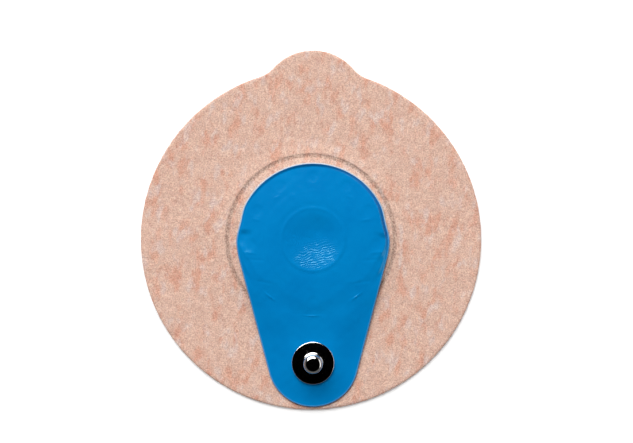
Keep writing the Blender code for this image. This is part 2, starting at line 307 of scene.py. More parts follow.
def triangles(loops, spots, holes):
    """Triangles inside the first loop and outside the holes, each a (centre, radius).

    Gives the corners, the faces, and which corners each loop became.
    """
    points = [Vector(point) for loop in loops for point in loop.tolist()]
    edges = []
    first = 0
    for loop in loops:
        edges += [(first + i, first + (i + 1) % len(loop)) for i in range(len(loop))]
        first += len(loop)
    points += [Vector(spot) for spot in spots.tolist()]
    inside_only = 1
    flat = delaunay_2d_cdt(points, edges, [], inside_only, same_point)
    corners = np.array([tuple(corner) for corner in flat[0]])
    became = {}
    for corner, sources in enumerate(flat[3]):
        for source in sources:
            became[source] = corner
    faces = np.array(flat[2])
    middles = corners[faces].mean(1)
    for centre, radius in holes:
        kept = np.hypot(middles[:, 0] - centre[0], middles[:, 1] - centre[1]) > radius
        faces = faces[kept]
        middles = middles[kept]
    ends = np.cumsum([0] + [len(loop) for loop in loops])
    return corners, faces, [[became[i] for i in range(*span)] for span in zip(ends, ends[1:])]


def layered(name, rims, top_spots, under_spots, top_at, under_at, holes=(), sharp_angle=40):
    """A sheet with its own top and underside, joined along its rims.

    A rim is a list of rows from the top to the underside, each a (loop, share of the sheet's height).
    """
    top = triangles([rim[0][0] for rim in rims], top_spots, holes)
    under = triangles([rim[-1][0] for rim in rims], under_spots, holes)
    used_top, top_faces = np.unique(top[1], return_inverse=True)
    used_under, under_faces = np.unique(under[1], return_inverse=True)
    flat = [top[0][used_top], under[0][used_under]]
    heights = [top_at(*flat[0].T), under_at(*flat[1].T)]
    faces = top_faces.reshape(-1, 3).tolist()
    faces += (under_faces.reshape(-1, 3)[:, ::-1] + len(used_top)).tolist()
    count = len(used_top) + len(used_under)
    for rim, top_loop, under_loop in zip(rims, top[2], under[2]):
        rows = [np.searchsorted(used_top, top_loop)]
        for loop, share in rim[1:-1]:
            rows.append(np.arange(count, count + len(loop)))
            count += len(loop)
            flat.append(loop)
            heights.append(under_at(*loop.T) + share * (top_at(*loop.T) - under_at(*loop.T)))
        rows.append(np.searchsorted(used_under, under_loop) + len(used_top))
        for upper, lower in zip(rows, rows[1:]):
            quads = np.column_stack([upper, lower, np.roll(lower, -1), np.roll(upper, -1)])
            faces += quads.tolist()
    corners = np.column_stack([np.vstack(flat), np.concatenate(heights)])
    return make_piece(name, corners, faces, sharp_angle)


def ring_loop(radius, steps, centre=(0.0, 0.0)):
    return arc(centre, radius, 0.0, math.tau, steps)[:-1]


def sponge_pits(x, y, seed):
    """How deep the pores sink a face of the sponge."""
    rng = np.random.default_rng(seed)
    reach = (sponge_radius - 2 * sponge_rounding) * np.sqrt(rng.uniform(0, 1, pore_count))
    angle = rng.uniform(0, math.tau, pore_count)
    size = rng.uniform(*pore_sizes, pore_count)
    away = np.hypot(x[:, None] - reach * np.cos(angle), y[:, None] - reach * np.sin(angle)) / size
    depths = rng.uniform(0.3, 1.0, pore_count) * pore_depth * np.clip(1 - away**2, 0, 1)
    return depths.max(1)


def make_wet_sponge():
    rows = ((1.0, 1.0), (0.3, 0.92), (0.05, 0.7), (0.0, 0.5), (0.05, 0.3), (0.3, 0.08), (1.0, 0.0))
    rim = []
    for inset, share in rows:
        rim.append((ring_loop(sponge_radius - sponge_rounding * inset, sponge_steps), share))
    spots = lattice((-sponge_radius, -sponge_radius), (sponge_radius, sponge_radius), sponge_pitch)
    spots = spots[np.hypot(*spots.T) < sponge_radius - sponge_rounding - sponge_pitch / 2]
    return layered(
        "wet_sponge",
        [rim],
        spots,
        spots,
        lambda x, y: sponge_top - sponge_pits(x, y, seed=11),
        lambda x, y: sponge_pits(x, y, seed=12),
    )


def make_sponge_material():
    material, tree, shader, place = new_material("gel-soaked sponge")
    cells = effect(tree, foam_cells, {"Place": place, "Cells per metre": 1 / (0.34 * mm)})
    clouds = noise(tree, place, 2.5 * mm, detail=3.0)
    gel = blended(tree, clouds, (0.60, 0.57, 0.42), (0.74, 0.72, 0.60))
    opened = maths(tree, "MULTIPLY", cells["Opening"], 0.35)
    set_inputs(tree, shader, {
        "Base Color": blended(tree, opened, gel, (0.46, 0.43, 0.31)),
        "Roughness": ramp(tree, cells["Opening"], 0.0, 1.0, 0.12, 0.4),
        "Subsurface Weight": 0.35,
        "Subsurface Radius": (0.7 * mm, 0.65 * mm, 0.45 * mm),
        "Subsurface Scale": 1.0,
        "Coat Weight": 0.5,
        "Coat Roughness": 0.08,
        "Normal": bumped(tree, cells["Height"], 0.05 * mm),
    })
    return material


wet_sponge = make_wet_sponge()
dress(wet_sponge, make_sponge_material())
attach(wet_sponge, "root")
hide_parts("gel_sponge")


# Nonwoven backing
# A skin-coloured sheet of laid and pressed fibres, die-cut to a disc with a finger tab, with glue on its
# skin side. It rises over the foam ring, and a heated tool has pressed a groove round that step.

glue_line = 0.1 * mm
cloth_low, cloth_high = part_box("backing")
disc_radius = cloth_high.x
tab_end = cloth_high.y
cloth_thickness = 0.5 * mm
raised_cloth_top = cloth_high.z
raised_cloth_under = ring_top + glue_line
tab_radius = 10.7 * mm
tab_shift = 0.4 * mm
tab_fillet = 6.4 * mm
slope_start = 13.5 * mm
slope_end = 20.0 * mm
groove_radius = 16.75 * mm
groove_width = 0.4 * mm
groove_depth = 0.13 * mm
puff_radius = 18.1 * mm
puff_width = 0.9 * mm
puff_height = 0.02 * mm
cut_thinning = 0.05 * mm
cut_thinned = 0.5 * mm
cut_darkened = (0.12 * mm, 0.45 * mm)
fray_size = 0.7 * mm
fray_depth = 0.02 * mm
fray_inset = 0.03 * mm
flattened_width = 1.0 * mm
step_clearance = 0.05 * mm
outline_pitch = 0.3 * mm
cloth_pitch = 0.31 * mm
cloth_margin = 0.35 * mm
covered_pitch = 0.9 * mm
groove_pitch = 0.12 * mm
groove_zone = (ring_outer - 0.7 * mm, groove_radius + 0.9 * mm)
under_groove_pitch = 0.2 * mm
fibre_waves = ((8 * mm, 0.030 * mm, 21), (1.3 * mm, 0.018 * mm, 22), (0.6 * mm, 0.012 * mm, 23))


def cloth_outline():
    """The disc and its finger tab, with a hollow fillet on either side of the tab."""
    tab_centre = Vector((tab_shift, tab_end - tab_radius))
    reach_disc = disc_radius + tab_fillet
    reach_tab = tab_radius + tab_fillet
    distance = tab_centre.length
    up = (distance**2 + reach_disc**2 - reach_tab**2) / (2 * distance)
    across = math.sqrt(reach_disc**2 - up**2)
    axis = tab_centre.normalized()
    side = Vector((axis.y, -axis.x))
    right = axis * up + side * across
    left = axis * up - side * across
    disc_start = math.atan2(left.y, left.x)
    disc_end = math.atan2(right.y, right.x) + math.tau
    to_tab_right = math.atan2(*reversed(right - tab_centre))
    to_tab_left = math.atan2(*reversed(left - tab_centre))
    stretches = (
        ((0.0, 0.0), disc_radius, disc_start, disc_end),
        (right, tab_fillet, disc_end - math.pi, to_tab_right + math.pi),
        (tab_centre, tab_radius, to_tab_right, to_tab_left),
        (left, tab_fillet, to_tab_left - math.pi, disc_start - math.pi),
    )
    arcs = [arc(c, r, a, b, round(abs(b - a) * r / outline_pitch))[:-1] for c, r, a, b in stretches]
    return np.vstack(arcs)


def inset_loop(loop, inset):
    """A loop moved inwards, square to itself, by one distance or by one for each of its points."""
    ahead = np.roll(loop, -1, 0) - np.roll(loop, 1, 0)
    inward = np.column_stack([-ahead[:, 1], ahead[:, 0]]) / np.hypot(*ahead.T)[:, None]
    return loop + inward * np.reshape(inset, (-1, 1))


def edge_reach(x, y, loop):
    """How far a point is inside a loop round the origin, measured along the radius."""
    angles = np.arctan2(loop[:, 1], loop[:, 0])
    order = np.argsort(angles)
    radii = np.hypot(*loop.T)[order]
    return np.interp(np.arctan2(y, x), angles[order], radii, period=math.tau) - np.hypot(x, y)


outline = cloth_outline()


def cloth_slope(radius):
    """How high the cloth's top lies: raised over the ring, and down to the table outside it."""
    fallen = np.clip((radius - slope_start) / (slope_end - slope_start), 0, 1)
    return raised_cloth_top + (cloth_thickness - raised_cloth_top) * (fallen + smooth(fallen, 0, 1)) / 2


def ridge(value, middle, width, power=2):
    """1 where a value is in the middle, and down to 0 beyond a width from there."""
    return np.exp(-(((value - middle) / width) ** power))


def cloth_top(x, y):
    radius = np.hypot(x, y)
    height = cloth_slope(radius)
    height -= groove_depth * ridge(radius, groove_radius, groove_width, power=4)
    height += puff_height * ridge(radius, puff_radius, puff_width)
    height -= cut_thinning * (1 - smooth(edge_reach(x, y, outline), 0.0, cut_thinned))
    under_film = 1 - smooth(radius, ring_outer - flattened_width, ring_outer)
    points = np.column_stack([x, y])
    for size, depth, seed in fibre_waves:
        height += depth * unevenness(points, size, seed) * (1 - 0.8 * under_film)
    return height


def cloth_under(x, y):
    radius = np.hypot(x, y)
    fallen = smooth(radius, ring_outer + step_clearance, groove_radius - step_clearance)
    return raised_cloth_under * (1 - fallen)


def mark(piece, name, value_at):
    """Stores a value from 0 to 1 at each corner of a piece, which its material reads by that name."""
    corners = np.array([corner.co for corner in piece.data.vertices])
    marks = piece.data.attributes.new(name, "FLOAT", "POINT")
    marks.data.foreach_set("value", value_at(corners[:, 0], corners[:, 1]).astype(np.float32))


def make_backing_piece():
    hole = ((0.0, 0.0), ring_inner)
    fray = unevenness(outline, fray_size, seed=31) * fray_depth + fray_inset
    edge_rows = ((0.13 * mm, 1.0), (0.03 * mm, 0.87), (0.0, 0.5), (0.02 * mm, 0.2), (0.10 * mm, 0.0))
    rim = [(inset_loop(outline, fray + inset), share) for inset, share in edge_rows]
    hole_rim = [(ring_loop(ring_inner, 200), share) for share in (1.0, 0.5, 0.0)]
    spots = lattice(cloth_low.xy, cloth_high.xy, cloth_pitch)
    reach = edge_reach(*spots.T, outline)
    radius = np.hypot(*spots.T)
    open_cloth = spots[(reach > cloth_margin) & (radius > groove_zone[1] + cloth_pitch / 2)]
    groove_loops = [ring_loop(r, 460) for r in np.arange(*groove_zone, groove_pitch)]
    coarse = lattice(cloth_low.xy, cloth_high.xy, covered_pitch)
    coarse_radius = np.hypot(*coarse.T)
    margin = covered_pitch / 2
    in_ring = (coarse_radius > ring_inner + margin) & (coarse_radius < groove_zone[0] - margin)
    under = coarse[(edge_reach(*coarse.T, outline) > margin) & (coarse_radius > ring_inner + margin)]
    under_radii = np.arange(ring_outer, groove_radius + under_groove_pitch / 2, under_groove_pitch)
    under_loops = [ring_loop(r, 300) for r in under_radii]
    piece = layered(
        "nonwoven_backing",
        [rim, hole_rim],
        np.vstack([open_cloth, *groove_loops, coarse[in_ring]]),
        np.vstack([under, *under_loops]),
        cloth_top,
        cloth_under,
        holes=[hole],
        sharp_angle=60,
    )
    mark(piece, "cut edge", lambda x, y: 1 - smooth(edge_reach(x, y, outline), *cut_darkened))
    return piece


def stored(tree, name):
    """The value that is marked by that name on the piece."""
    return add_node(tree, "ShaderNodeAttribute", attribute_name=name).outputs["Fac"]


def stretched(tree, place, size, turns=(0.0, 0.0, 0.0)):
    """Coordinates in which one unit is as long as that size in each direction, turned by those angles."""
    sockets = {"Vector": place, "Rotation": turns, "Scale": size}
    return add_node(tree, "ShaderNodeMapping", sockets, vector_type="TEXTURE").outputs[0]


def make_fibres_effect():
    """Fibres that lie along one direction: a value that is high on the fibres and low between them."""
    group, given, made = new_effect(
        "laid fibres",
        {"Place": "NodeSocketVector", "Turn": "NodeSocketFloat", "Fibre": "NodeSocketVector"},
        {"Value": "NodeSocketFloat"},
    )
    turns = add_node(group, "ShaderNodeCombineXYZ", {"Z": given["Turn"]}).outputs[0]
    laid = stretched(group, given["Place"], given["Fibre"], turns)
    strands = noise(group, laid, 1.0, detail=3.0, roughness=0.6, kind="RIDGED_MULTIFRACTAL")
    group.links.new(ramp(group, strands, 0.2, 1.3), made["Value"])
    return group


laid_fibres = make_fibres_effect()


def make_cloth_material():
    material, tree, shader, place = new_material("skin-coloured nonwoven")
    layers = (
        (math.radians(6), (0.16 * mm, 1.7 * mm, 0.3 * mm)),
        (math.radians(-22), (0.15 * mm, 1.2 * mm, 0.3 * mm)),
        (math.radians(58), (0.15 * mm, 1.0 * mm, 0.3 * mm)),
    )
    strands = []
    for turn, fibre in layers:
        strands.append(effect(tree, laid_fibres, {"Place": place, "Turn": turn, "Fibre": fibre})["Value"])
    web = maths(tree, "MAXIMUM", maths(tree, "MAXIMUM", strands[0], strands[1]), strands[2])
    grain = noise(tree, place, 0.27 * mm, detail=3.0, roughness=0.7)
    flakes = noise(tree, place, 0.9 * mm, detail=2.0)
    tint = noise(tree, place, 0.55 * mm, detail=1.0)
    blotch = stretched(tree, place, (2.2 * mm, 4.6 * mm, 4 * mm), (0.0, 0.0, math.radians(-9)))
    warm_share = ramp(tree, noise(tree, blotch, 1.0, detail=3.0, roughness=0.55), 0.48, 0.68)
    sockets = {0: blotch, 1: (17.0, 5.0, 3.0)}
    pale_place = add_node(tree, "ShaderNodeVectorMath", sockets, operation="ADD").outputs[0]
    pale_share = ramp(tree, noise(tree, pale_place, 0.8, detail=2.0), 0.52, 0.7, 0.0, 0.8)
    colour = blended(tree, warm_share, (0.82, 0.555, 0.442), (0.785, 0.43, 0.315))
    colour = blended(tree, pale_share, colour, (0.83, 0.65, 0.585))
    colour = blended(tree, ramp(tree, tint, 0.4, 0.75, 0.0, 0.3), colour, (0.90, 0.66, 0.50))
    fibrous = ramp(tree, web, 0.0, 1.0, -0.13, 0.1)
    bright = maths(tree, "ADD", ramp(tree, grain, 0.28, 0.72, 0.7, 1.28), fibrous)
    bright = maths(tree, "MULTIPLY", bright, ramp(tree, flakes, 0.3, 0.7, 0.93, 1.07))
    # The cloth is a little darker along its cut edge
    edge_darkened = ramp(tree, stored(tree, "cut edge"), 0.0, 1.0, 1.0, 0.91)
    bright = maths(tree, "MULTIPLY", bright, edge_darkened)
    apart = add_node(tree, "ShaderNodeSeparateXYZ", {"Vector": place}).outputs
    flat_place = add_node(tree, "ShaderNodeCombineXYZ", {"X": apart["X"], "Y": apart["Y"]}).outputs[0]
    radius = add_node(tree, "ShaderNodeVectorMath", {0: flat_place}, operation="LENGTH").outputs["Value"]
    off_groove = maths(tree, "ABSOLUTE", maths(tree, "SUBTRACT", radius, groove_radius))
    # The cloth is darker in spots along the groove
    near_groove = ramp(tree, off_groove, groove_width * 0.5, groove_width * 1.6, 1.0, 0.0)
    groove_darkening = maths(tree, "MULTIPLY", near_groove, ramp(tree, grain, 0.35, 0.6, 0.46, 0.22))
    groove_brightness = maths(tree, "SUBTRACT", 1.0, groove_darkening)
    redder = maths(tree, "MULTIPLY", maths(tree, "MULTIPLY_ADD", bright, 0.75, 0.24), groove_brightness)
    bright = maths(tree, "MULTIPLY", bright, groove_brightness)
    shade = add_node(tree, "ShaderNodeCombineColor", {0: redder, 1: bright, 2: bright}).outputs[0]
    height = maths(tree, "ADD", maths(tree, "MULTIPLY", web, 0.7), maths(tree, "MULTIPLY", grain, 0.6))
    set_inputs(tree, shader, {
        "Base Color": blended(tree, 1.0, colour, shade, way="MULTIPLY"),
        "Roughness": ramp(tree, grain, 0.3, 0.7, 0.95, 0.8),
        "Specular IOR Level": 0.2,
        "Sheen Weight": 0.15,
        "Sheen Roughness": 0.6,
        "Subsurface Weight": 0.15,
        "Subsurface Radius": (0.5 * mm, 0.3 * mm, 0.22 * mm),
        "Subsurface Scale": 1.0,
        "Normal": bumped(tree, height, 0.035 * mm),
    })
    return material


backing = make_backing_piece()
dress(backing, make_cloth_material())
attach(backing, "root")
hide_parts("backing")


# Sensor disc
# A small moulded disc with a grey coat of silver and its chloride, which lies on the sponge under the
# film. It stays as the frame has it.


def make_haze_effect():
    """Faint clouds with finer ones in them, for moulded and printed films."""
    group, given, made = new_effect(
        "faint clouds",
        {"Place": "NodeSocketVector", "Clouds per metre": "NodeSocketFloat"},
        {"Value": "NodeSocketFloat"},
    )
    sockets = {"Vector": given["Place"], "Scale": given["Clouds per metre"], "Detail": 3.0}
    clouds = add_node(group, "ShaderNodeTexNoise", sockets).outputs[0]
    group.links.new(ramp(group, clouds, 0.25, 0.75), made["Value"])
    return group


faint_clouds = make_haze_effect()


def make_sensor_material():
    material, tree, shader, place = new_material("silver chloride coat")
    clouds = effect(tree, faint_clouds, {"Place": place, "Clouds per metre": 1 / (1.2 * mm)})["Value"]
    grain = noise(tree, place, 0.08 * mm, detail=2.0)
    set_inputs(tree, shader, {
        "Base Color": blended(tree, clouds, (0.28, 0.26, 0.27), (0.42, 0.40, 0.38)),
        "Metallic": 0.6,
        "Roughness": ramp(tree, grain, 0.3, 0.7, 0.42, 0.62),
        "Normal": bumped(tree, grain, 0.01 * mm),
    })
    return material


dress(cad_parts["sensor_disc"], make_sensor_material())


# Conductor strip
# A strip of plastic film filled with carbon, black and satin, laid from the sensor disc to the eyelet.
# It stays as the frame has it.


def make_carbon_material():
    material, tree, shader, place = new_material("carbon-filled film")
    clouds = effect(tree, faint_clouds, {"Place": place, "Clouds per metre": 1 / (2.0 * mm)})["Value"]
    lines = noise(tree, stretched(tree, place, (0.1 * mm, 3 * mm, 1 * mm)), 1.0)
    set_inputs(tree, shader, {
        "Base Color": blended(tree, clouds, (0.012, 0.012, 0.013), (0.028, 0.028, 0.030)),
        "Roughness": ramp(tree, lines, 0.3, 0.7, 0.38, 0.52),
        "Normal": bumped(tree, lines, 0.006 * mm),
    })
    return material


dress(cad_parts["conductor_strip"], make_carbon_material())


# Stud eyelet
# A small nickelled eyelet under the tail, whose post is pressed open inside the stud so that both grip
# the strip and the film. It stays as the frame has it.


def make_scratches_effect():
    """Fine scratches that cross one another: a mask of where they run."""
    group, given, made = new_effect(
        "fine scratches",
        {"Place": "NodeSocketVector", "Scratch": "NodeSocketVector"},
        {"Mask": "NodeSocketFloat"},
    )
    masks = []
    for turn in (0.3, 1.4, 2.6):
        laid = stretched(group, given["Place"], given["Scratch"], (0.0, 0.0, turn))
        masks.append(ramp(group, noise(group, laid, 1.0, detail=1.0), 0.66, 0.78))
    both = maths(group, "MAXIMUM", masks[0], masks[1])
    group.links.new(maths(group, "MAXIMUM", both, masks[2]), made["Mask"])
    return group


fine_scratches = make_scratches_effect()


def make_nickel(name, colour, polish, dull):
    """Nickel plate of that colour, with a roughness of polish, and of dull where it is scratched."""
    material, tree, shader, place = new_material(name)
    scratch = (0.03 * mm, 0.9 * mm, 0.9 * mm)
    scratches = effect(tree, fine_scratches, {"Place": place, "Scratch": scratch})["Mask"]
    clouds = noise(tree, place, 0.6 * mm, detail=3.0)
    worn = blended(tree, clouds, tuple(part * 0.93 for part in colour), colour)
    smear = ramp(tree, clouds, 0.45, 0.75, 0.0, 0.05)
    scraped = maths(tree, "MULTIPLY", scratches, 0.2)
    set_inputs(tree, shader, {
        "Base Color": blended(tree, scraped, worn, (0.5, 0.5, 0.5)),
        "Metallic": 1.0,
        "Roughness": maths(tree, "ADD", smear, ramp(tree, scratches, 0.0, 1.0, polish, dull)),
        "Normal": bumped(tree, scratches, -0.002 * mm),
    })
    return material


dress(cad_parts["stud_eyelet"], make_nickel("plain nickel", (0.62, 0.61, 0.59), 0.22, 0.4))


# Blue film
# One piece of blue plastic film, cut to the shape of a drop. A tool has pressed its round head into a low
# plateau with a dimple over the sensor and dents along the rim, and its tail runs down to the stud.

film_low, film_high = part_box("foil_flap")
strip_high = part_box("conductor_strip")[1]
stud_low, stud_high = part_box("snap_stud")
stud_y = (stud_low.y + stud_high.y) / 2
stud_hole_radius = 1.2 * mm
flange_gap = 0.04 * mm
film_x = (film_low.x + film_high.x) / 2
edge_flash = 0.1 * mm
head_radius = film_high.y + edge_flash
tail_radius = 9.05 * mm
tail_y = film_low.y + tail_radius
film_thickness = 0.4 * mm
plateau_top = film_high.z
glued_top = raised_cloth_top + glue_line + film_thickness
bridge_top = strip_high.z + glue_line + film_thickness
tail_top = stud_low.z - flange_gap
lift_start = -1.0 * mm
lift_end = 8.0 * mm
drop_start = 14.5 * mm
drop_end = 20.6 * mm
edge_clearance = 0.05 * mm
skirt_height = 0.75 * mm
skirt_rise = 5.0 * mm
skirt_full = 10.0 * mm
skirt_gone = 24.0 * mm
edge_thickness = 0.16 * mm
edge_taper = 0.9 * mm
edge_thinned = (0.3 * mm, 1.0 * mm)
droop_width = 6.5 * mm
droop_start = 5.0 * mm
droop_end = 14.0 * mm
tail_stand = 0.22 * mm
tail_stand_start = 13.0 * mm
tail_stand_end = 18.0 * mm
side_pull = 0.32 * mm
side_pull_angle = math.radians(13)
side_pull_spread = math.radians(15)

# The plateau curves down to the head's upper edge, where the rim turns up in a bead. On the right it
# stays flatter and ends in a wall inside the bead, and towards the tail it runs out gently. The wall's two
# angles, each with its spread, are in degrees from +X.
crown_start = 7.0 * mm
crown_fall = 0.62 * mm
level_crown_fall = 0.32 * mm
crown_bend = 1.3
crown_turn = math.radians(118)
wall_right = (22, 30)
wall_tail = (270, 16)
wall_top = 14.5 * mm
wall_foot = 14.9 * mm
right_wall_top = 14.3 * mm
tail_wall_top = 12.7 * mm
tail_wall_foot = 15.2 * mm
tail_run = 1.6 * mm
side_wall_run = 1.5 * mm
rim_turns = tuple(map(math.radians, (-20, 0, 30, 70, 95, 140, 175, 190)))
rim_rises = (0.0, -0.2 * mm, -0.25 * mm, 0.1 * mm, 0.28 * mm, 0.28 * mm, 0.05 * mm, 0.0)
bead_rises = (0.0, 0.1 * mm, 0.3 * mm, 0.3 * mm, 0.27 * mm, 0.16 * mm, 0.03 * mm, 0.0)
bead_holds = 0.1 * mm
bead_flank = 0.08 * mm
bead_start = 0.12 * mm
bead_foot = 0.75 * mm
# The cut edge's pale core and its painted highlight: the band inside the edge, and where the highlight
# rises towards the head
pale_highlit_band = (0.17 * mm, 0.3 * mm)
highlight_rise = (-1.0 * mm, 5.0 * mm)
# Painted shade in a band just inside the head's edge: its share at angles round the head, in degrees from
# +X, and how far inside the edge the band starts and ends
shade_band_turns = tuple(map(math.radians, (-16, 4, 45, 80, 120, 155, 180)))
shade_band_shares = (0.0, 1.0, 1.0, 0.7, 0.5, 0.15, 0.0)
shade_band_start = (0.12 * mm, 0.26 * mm)
shade_band_width = (0.55 * mm, 0.95 * mm)
dimple_radius = 6.25 * mm
dimple_depth = 0.5 * mm
dimple_lean = (1.3 * mm, 1.1 * mm)
bowl_power = 1.25
steep_power = 1.6
steep_turn = math.radians(62)
lip_radius = 6.25 * mm
lip_width = 0.35 * mm
lip_height = 0.035 * mm
lip_groove_radius = 6.95 * mm
lip_groove_width = 0.5 * mm
lip_groove_depth = 0.027 * mm

# Dents, banks and a long crease near the rim, as angles and spreads in degrees from +X
dent_ring = 12.5 * mm
dent_radius = 1.5 * mm
dent_depth = 0.043 * mm
dent_angles = (-5, 27, 58, 90, 122, 153, 185, 233, 270, 308)
bank_angles = (233, 307)
bank_spread = 4.2
bank_ring = 14.3 * mm
bank_width = 0.2 * mm
bank_height = 0.095 * mm
crease_angle = 269
crease_spread = 5
crease_ring = 15.25 * mm
crease_width = 0.16 * mm
crease_height = 0.07 * mm

# Short creases between the dents: middle x and y, half length and rise in millimetres, and their turn
# in degrees
short_creases = (
    (-12.5, -2.7, 1.2, 0.045, -8),
    (12.8, -2.6, 1.4, 0.045, 8),
    (10.6, 3.9, 1.0, 0.04, 6),
    (-7.0, 8.4, 0.7, 0.035, 20),
    (-11.3, 3.9, 0.7, 0.035, -16),
    (7.2, 8.5, 0.7, 0.03, -20),
    (-11.3, -4.1, 1.6, -0.03, -4),
    (11.6, -4.1, 1.6, -0.03, 4),
    (-9.4, -8.6, 2.0, -0.03, -10),
    (9.4, -8.6, 2.0, -0.03, 10),
)
short_crease_width = 0.26 * mm

# The pinch at either side of the head, the film over the sponge's edge, and the ripples in the dimple
pinch_y = 0.9 * mm
pinch_lean = 0.33
pinch_from = 11.6 * mm
pinch_run = 3.0 * mm
pinch_above = 1.3 * mm
pinch_below = 4.5 * mm
pinch_shares = {-1: 0.95, 1: 0.5}
sponge_edge = 9.9 * mm
sponge_edge_run = 0.3 * mm
sponge_edge_step = 0.015 * mm
ripple_height = 0.031 * mm
left_ripple_height = 0.021 * mm
ripple_pitch = 0.46 * mm
ripple_turn = math.radians(12)
wrinkled_middle = (0.2 * mm, -3.6 * mm)
wrinkled_size = (5.8 * mm, 3.5 * mm)
wrinkled_turn = math.radians(24)
wrinkled_end = (5.6 * mm, 6.1 * mm)
left_wrinkled = (-3.7 * mm, 0.2 * mm)
left_wrinkled_size = 2.9 * mm
film_unevenness = 0.006 * mm

# How closely the film's corners lie, with finer ones in the dimple and along the long crease
film_pitch = 0.19 * mm
film_fine_pitch = 0.1 * mm
film_under_pitch = 0.8 * mm
wall_insets = np.arange(0.3, 1.5, 0.11) * mm
inner_margin = 1.6 * mm
under_margin = 1.7 * mm
crease_zone = (13.4 * mm, 15.8 * mm)
crease_zone_y = -9 * mm


def side_inset(angle):
    """How far the head's edge is drawn in at the sides, where the rim is pinched."""
    from_top = np.abs((angle - math.pi / 2 + math.pi) % math.tau - math.pi)
    away = np.abs(from_top - (math.pi / 2 - side_pull_angle))
    return side_pull * (1 - smooth(away, 0.0, side_pull_spread))


def film_outline():
    """The head's edge, the tail's end, and the two straight sides that join them."""
    slope = math.asin((head_radius - tail_radius) / -tail_y)
    head = arc((0.0, 0.0), 1.0, -slope, math.pi + slope, 460)
    head *= (head_radius - side_inset(np.arctan2(head[:, 1], head[:, 0])))[:, None]
    tail = arc((0.0, tail_y), tail_radius, math.pi + slope, math.tau - slope, 200)
    left_side = straight(head[-1], tail[0], 200)
    right_side = straight(tail[-1], head[0], 200)
    return np.vstack([head[:-1], left_side, tail[:-1], right_side])


def film_margin(x, y):
    """How far a point is inside the film's outline, square to it."""
    inset = side_inset(np.arctan2(y, x))
    lean = (head_radius - tail_radius) / -tail_y
    upright = math.sqrt(1 - lean * lean)
    down = -lean * np.abs(x) - upright * y
    by_head = head_radius - inset - np.hypot(x, y)
    by_tail = tail_radius - np.hypot(x, y - tail_y)
    by_side = head_radius - (np.abs(x) * upright - y * lean)
    return np.where(down < 0, by_head, np.where(down > -upright * tail_y, by_tail, by_side))


def near_angle(angle, degrees, spread):
    """1 at that angle, and down to 0 away from it."""
    away = (angle - math.radians(degrees) + math.pi) % math.tau - math.pi
    return ridge(away, 0.0, math.radians(spread))


def at_turn(angle, turns, values):
    """The value at an angle, from the values that are given at some turns round the head."""
    return np.interp(angle % math.tau, turns, values, period=math.tau)


def film_edge_under(x, y):
    """The height of the film's underside along its edge: on the cloth, and just off it at the tail."""
    standing = tail_stand * smooth(-y, tail_stand_start, tail_stand_end)
    return cloth_slope(np.hypot(x + film_x, y)) + edge_clearance + standing


def film_unraised(x, y, inside, bead_rise):
    """The film without its plateau: on the cloth round the head, over the strip, and up to the stud."""
    inner = glued_top + (bridge_top - glued_top) * smooth(-y, lift_start, lift_end)
    dropped = np.clip((-y - drop_start) / (drop_end - drop_start), 0, 1)
    inner += (tail_top - bridge_top) * (0.7 * smooth(dropped, 0, 1) + 0.3 * (1 - (1 - dropped) ** 2))
    taper = edge_taper + (droop_width - edge_taper) * smooth(-y, droop_start, droop_end)
    drooping = (1 - smooth(inside / taper, 0.0, 1.0)) * (1 - np.clip(bead_rise / bead_holds, 0, 1))
    skirt = skirt_height * (0.55 + 0.45 * smooth(-y, skirt_rise, skirt_full))
    skirt *= 1 - smooth(-y, skirt_full, skirt_gone)
    return inner - (inner - film_edge_under(x, y) - edge_thickness - skirt) * drooping


def plateau_share(radius, angle):
    """How far the film is raised to its plateau: 1 inside the wall, and 0 from the wall's foot on."""
    on_tail = smooth(-np.sin(angle), 0.45, 0.95)
    on_right = near_angle(angle, *wall_right)
    off_middle = tail_run * (1 - near_angle(angle, *wall_tail))
    rim = wall_top + (right_wall_top - wall_top) * on_right
    rim += (tail_wall_top - off_middle - rim) * on_tail
    rim -= side_wall_run * smooth(-np.sin(angle), 0.05, 0.4) * (1 - on_tail)
    foot = wall_foot + (tail_wall_foot + off_middle / 2 - wall_foot) * on_tail
    walled = np.clip((radius + side_inset(angle) - rim) / (foot - rim), 0.0, 1.0)
    return 1 - walled - (smooth(walled, 0.0, 1.0) - walled) * (0.3 + 0.7 * on_tail)


def film_plateau(x, y, radius, angle):
    """The plateau: crowned, a little lower off the sponge, with the dimple, its lip and the dents."""
    to_light = smooth(np.cos(angle - crown_turn), -0.15, 0.5)
    crown = level_crown_fall + (crown_fall - level_crown_fall) * to_light
    outwards = np.clip((radius - crown_start) / (wall_foot - crown_start), 0, 1.1)
    plateau = plateau_top - crown * outwards**crown_bend
    off_sponge = smooth(radius, sponge_edge - sponge_edge_run, sponge_edge + sponge_edge_run)
    plateau -= sponge_edge_step * off_sponge
    steep = smooth(np.cos(angle - steep_turn), -0.3, 0.8)
    bowl = bowl_power + steep_power * steep * smooth(radius, 0.0, 1.5 * mm)
    within = np.clip(1 - (radius / dimple_radius) ** 2, 0, 1)
    from_deepest = np.hypot(x - dimple_lean[0] * within, y - dimple_lean[1] * within)
    plateau -= dimple_depth * np.clip(1 - (from_deepest / dimple_radius) ** 2, 0, 1) ** bowl
    plateau += lip_height * ridge(radius, lip_radius, lip_width)
    plateau -= lip_groove_depth * ridge(radius, lip_groove_radius, lip_groove_width)
    for degrees in dent_angles:
        dent_x = dent_ring * math.cos(math.radians(degrees))
        dent_y = dent_ring * math.sin(math.radians(degrees))
        away = np.hypot(x - dent_x, y - dent_y)
        plateau -= dent_depth * (1 - smooth(away, 0.4 * dent_radius, dent_radius))
    return plateau


